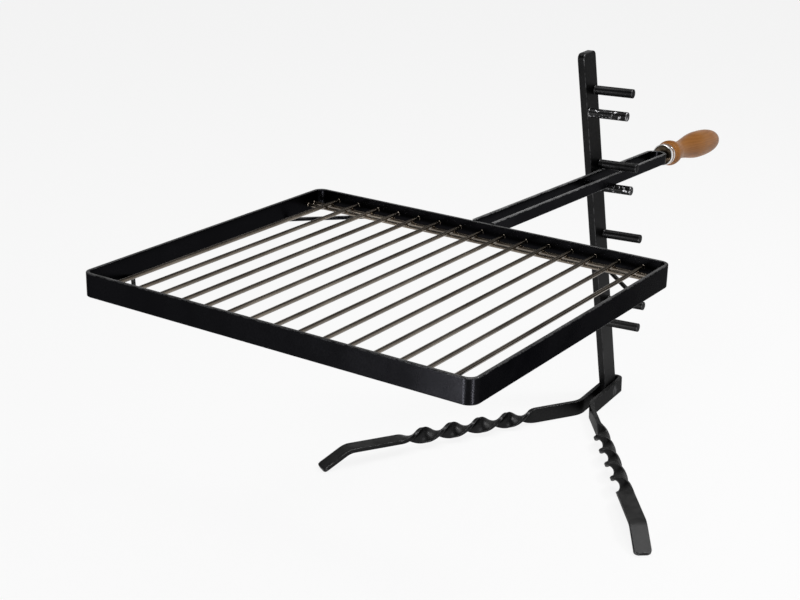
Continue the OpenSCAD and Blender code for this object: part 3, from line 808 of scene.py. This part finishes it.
# %% Trim the hairpin against the frame
bpy.ops.object.mode_set(mode="OBJECT")
hairpin.data.transform(IN_TRAY.inverted() @ ON_HANDLE)
bpy.ops.object.mode_set(mode="EDIT")
pick_all()
bpy.ops.mesh.bisect(plane_co=(TRAY_L / 2, 0, 0), plane_no=(1, 0, 0), use_fill=True, clear_inner=True)
cut_loops([(TRAY_L / 2 + step * WEAR_W, 0, 0) for step in (1, 3)], (1, 0, 0))
finish_piece(hairpin, "tray", handle_coat, ["handle_bar"], IN_TRAY)

# %% [markdown]
# ## The grip
# The wood is turned on a lathe, and Spin is a lathe: half of the outline is drawn and spun round the X axis.
# The outline swells to a collar behind the ferrule, thins to a neck and ends in a long bulb. The ferrule and
# the black end disc are spun in the same way. All lengths run from the outside of the hairpin's bend.

# %% Sizes of the grip
FERRULE_X, FERRULE_LEN, GRIP_LEN = 7 * mm, 10 * mm, 146.9 * mm
FERRULE_R, COLLAR_R, NECK_R, BULB_R = 12.5 * mm, 15 * mm, 10.5 * mm, 16 * mm
COLLAR_AT, NECK_AT, BULB_AT, END_POWER = 9 * mm, 34 * mm, 90 * mm, 2.6
TANG_R, BORE_LEN = 4 * mm, 91.05 * mm
FERRULE_IN = FERRULE_R - mm          # the ferrule's wall is 1 mm thick
DISC_BACK = FERRULE_X + 3 * mm       # where the disc lies against the wood
WOOD_X = FERRULE_X + FERRULE_LEN     # where the wood comes out of the ferrule


def ease(a, b, t):
    return a + (b - a) * (1 - math.cos(math.pi * t)) / 2


def grip_radius(x):
    if x < COLLAR_AT:
        return ease(FERRULE_R, COLLAR_R, x / COLLAR_AT)
    if x < NECK_AT:
        return ease(COLLAR_R, NECK_R, (x - COLLAR_AT) / (NECK_AT - COLLAR_AT))
    if x < BULB_AT:
        return ease(NECK_R, BULB_R, (x - NECK_AT) / (BULB_AT - NECK_AT))
    to_end = (x - BULB_AT) / (GRIP_LEN - BULB_AT)
    return BULB_R * max(0, 1 - to_end ** END_POWER) ** (1 / END_POWER)


print("the wood is", round(GRIP_LEN / mm, 1), "mm long behind the ferrule")

# %% Turned wood
# The bore comes first, then the step inside the ferrule, then the outline, with closer points at its end.
FROM_END = (4.2, 3.4, 2.7, 2, 1.4, 0.9, 0.5, 0.25, 0.1, 0.03)
bore_end, bore_r, step_r = BORE_LEN + TANG_R * math.sin(GRIP_FALL), TANG_R + FIT, FERRULE_IN - FIT
outline = [(bore_end, 0), (bore_end, bore_r), (DISC_BACK, bore_r), (DISC_BACK, step_r), (WOOD_X, step_r)]
outline += [(WOOD_X + x * mm, grip_radius(x * mm)) for x in range(0, 143)]
outline += [(WOOD_X + GRIP_LEN - d * mm, grip_radius(GRIP_LEN - d * mm)) for d in FROM_END]
outline += [(WOOD_X + GRIP_LEN, 0)]
grip = turned("turned_grip", outline)
finish_piece(grip, "tray", grip_wood, ["wood_grip"], ON_GRIP, smooth=45)

# %% Ferrule and end disc
# The ferrule has a rolled lip in front and a fine groove near the wood.
lip = 0.35 * mm
ferrule = turned("bright_ferrule", [
    (FERRULE_X + lip, FERRULE_R), (FERRULE_X, FERRULE_R - lip), (FERRULE_X, FERRULE_IN + lip),
    (FERRULE_X + lip, FERRULE_IN), (WOOD_X - 0.1 * mm, FERRULE_IN), (WOOD_X, FERRULE_IN + 0.1 * mm),
    (WOOD_X, FERRULE_R - 0.2 * mm), (WOOD_X - 0.4 * mm, FERRULE_R), (WOOD_X - 2 * mm, FERRULE_R),
    (WOOD_X - 2.4 * mm, FERRULE_R - 0.25 * mm), (WOOD_X - 2.8 * mm, FERRULE_R),
])
finish_piece(ferrule, "tray", ferrule_steel, ["ferrule"], ON_GRIP, smooth=40)

disc_x, disc_r, broken = FERRULE_X + mm, FERRULE_IN - FIT, 0.3 * mm
disc = turned("black_end_disc", [
    (DISC_BACK, bore_r), (disc_x + broken, bore_r), (disc_x, TANG_R + 0.4 * mm),
    (disc_x, FERRULE_IN - 0.5 * mm), (disc_x + broken, disc_r), (DISC_BACK, disc_r),
])
finish_piece(disc, "tray", disc_coat, ["end_disc"], ON_GRIP, smooth=40)

# %% [markdown]
# The rivet and the tang are simple round parts that hardly show, so the frame's own solids stay and get the
# coat of their neighbours.

# %% Carried-over rivet and tang
for name, material in (("pivot_rivet", stand_coat), ("tang", handle_coat)):
    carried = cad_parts[name]
    carried.data.materials.clear()
    carried.data.materials.append(material)
    print(name, "keeps its solid and gets", material.name)

# %% [markdown]
# ## Floor, light and camera
# The photograph is a cut-out on white with soft light from above and both sides. A pale floor and a white
# world do the same, and the world is dimmer as a lamp than as a background, which Light Path separates. It
# darkens overhead, as a studio's ceiling does, which gives the rods their dark middle. Two narrow strips
# stand low by the front corner of the tray and draw the two thin lights on its bend, where a mirror there
# would look. The camera stands where the measured perspective puts it, with a short telephoto lens.

# %% Floor
FLOOR_SIZE, FLOOR_GLOW, GLOW_SHARE = 24, 0.98, 0.9


def seen_directly(tree):
    """1 for what the camera, a reflection or a transmission shows, and 0 where light is only gathered."""
    path = add_node(tree, "LightPath").outputs
    seen = larger(tree, path["Is Camera Ray"], path["Is Glossy Ray"])
    return larger(tree, seen, path["Is Transmission Ray"])


bpy.ops.object.select_all(action="DESELECT")
bpy.ops.mesh.primitive_plane_add(size=FLOOR_SIZE)
floor = bpy.context.object
floor.name = "studio_floor"
floor_material, tree, shader, where = start_material("pale_floor")
shade = spread(tree, noise(tree, where, 0.6, 2), 0.3, 0.7, 0.9, 0.94)
tree.links.new(even_grey(tree, shade), shader.inputs["Base Color"])
shader.inputs["Roughness"].default_value = 1.0
shader.inputs["Specular IOR Level"].default_value = 0.0
glow = add_node(tree, "Emission", {"Color": (1, 1, 1, 1), "Strength": FLOOR_GLOW}).outputs[0]
share = spread(tree, seen_directly(tree), 0, 1, 0, GLOW_SHARE)
mixed = add_node(tree, "MixShader", {0: share, 1: shader.outputs[0], 2: glow}).outputs[0]
tree.links.new(mixed, tree.nodes["Material Output"].inputs["Surface"])
floor.data.materials.append(floor_material)
print(floor.name, "is", FLOOR_SIZE, "m wide")

# %% World
LAMP_STRENGTH, SEEN_STRENGTH = 0.5, 1.0
WALL_TOP, CEILING, CEILING_SHADE = 0.12, 0.42, 0.12      # two heights on the sky, and the shade overhead

world = bpy.data.worlds.new("studio")
bpy.context.scene.world = world
world.use_nodes = True
tree = world.node_tree
background = tree.nodes["Background"]
strength = spread(tree, seen_directly(tree), 0, 1, LAMP_STRENGTH, SEEN_STRENGTH)
tree.links.new(strength, background.inputs["Strength"])
height = part_of(tree, add_node(tree, "TexCoord").outputs["Object"], 2)
sky = spread(tree, height, WALL_TOP, CEILING, 1.0, CEILING_SHADE)
tree.links.new(even_grey(tree, sky), background.inputs["Color"])
print("world:", world.name)

# %% Lamps
MIDDLE = Vector((-0.25, 0, 0.25))
FRONT_CORNER = IN_TRAY @ Vector((-TRAY_L / 2, -TRAY_W / 2, -FRAME_H / 2))


def soft_box(name, at, width, height, watts, aim):
    data = bpy.data.lights.new(name, "AREA")
    data.shape = "RECTANGLE"
    data.size, data.size_y, data.energy = width, height, watts
    lamp = bpy.data.objects.new(name, data)
    lamp.location = at
    lamp.visible_camera = False
    lamp.rotation_euler = (aim - lamp.location).to_track_quat("-Z", "Y").to_euler()
    bpy.context.collection.objects.link(lamp)
    print(name, watts, "W")


soft_box("top_box", (-0.4, -0.2, 2.4), width=1.6, height=1.6, watts=32, aim=MIDDLE)
soft_box("right_box", (0.3, -0.9, 1.7), width=0.4, height=0.4, watts=14, aim=MIDDLE)
soft_box("left_strip", (-1.16, 0, 0.11), width=0.03, height=0.2, watts=1.8, aim=FRONT_CORNER)
soft_box("right_strip", (-0.93, -0.62, 0.11), width=0.03, height=0.2, watts=1.8, aim=FRONT_CORNER)
soft_box("low_fill", (-1.5, 0.2, 0.2), width=0.3, height=0.4, watts=1.8, aim=FRONT_CORNER)

# %% Camera
SENSOR, FOCAL_PIXELS, IMAGE_PIXELS = 36, 1519, 800       # the sensor in mm, the image's width in pixels

camera_data = bpy.data.cameras.new("photo_camera")
camera_data.sensor_width = SENSOR
camera_data.lens = SENSOR * FOCAL_PIXELS / IMAGE_PIXELS
camera = bpy.data.objects.new("photo_camera", camera_data)
camera.location = (-1.59787, -0.66555, 0.74144)
camera.rotation_euler = [math.radians(a) for a in (70.24356, 0.39239, -59.10306)]
bpy.context.collection.objects.link(camera)
bpy.context.scene.camera = camera
bpy.context.scene.view_settings.view_transform = "Standard"
print("lens", round(camera_data.lens, 1), "mm")

# %% Update the scene
bpy.context.view_layer.update()
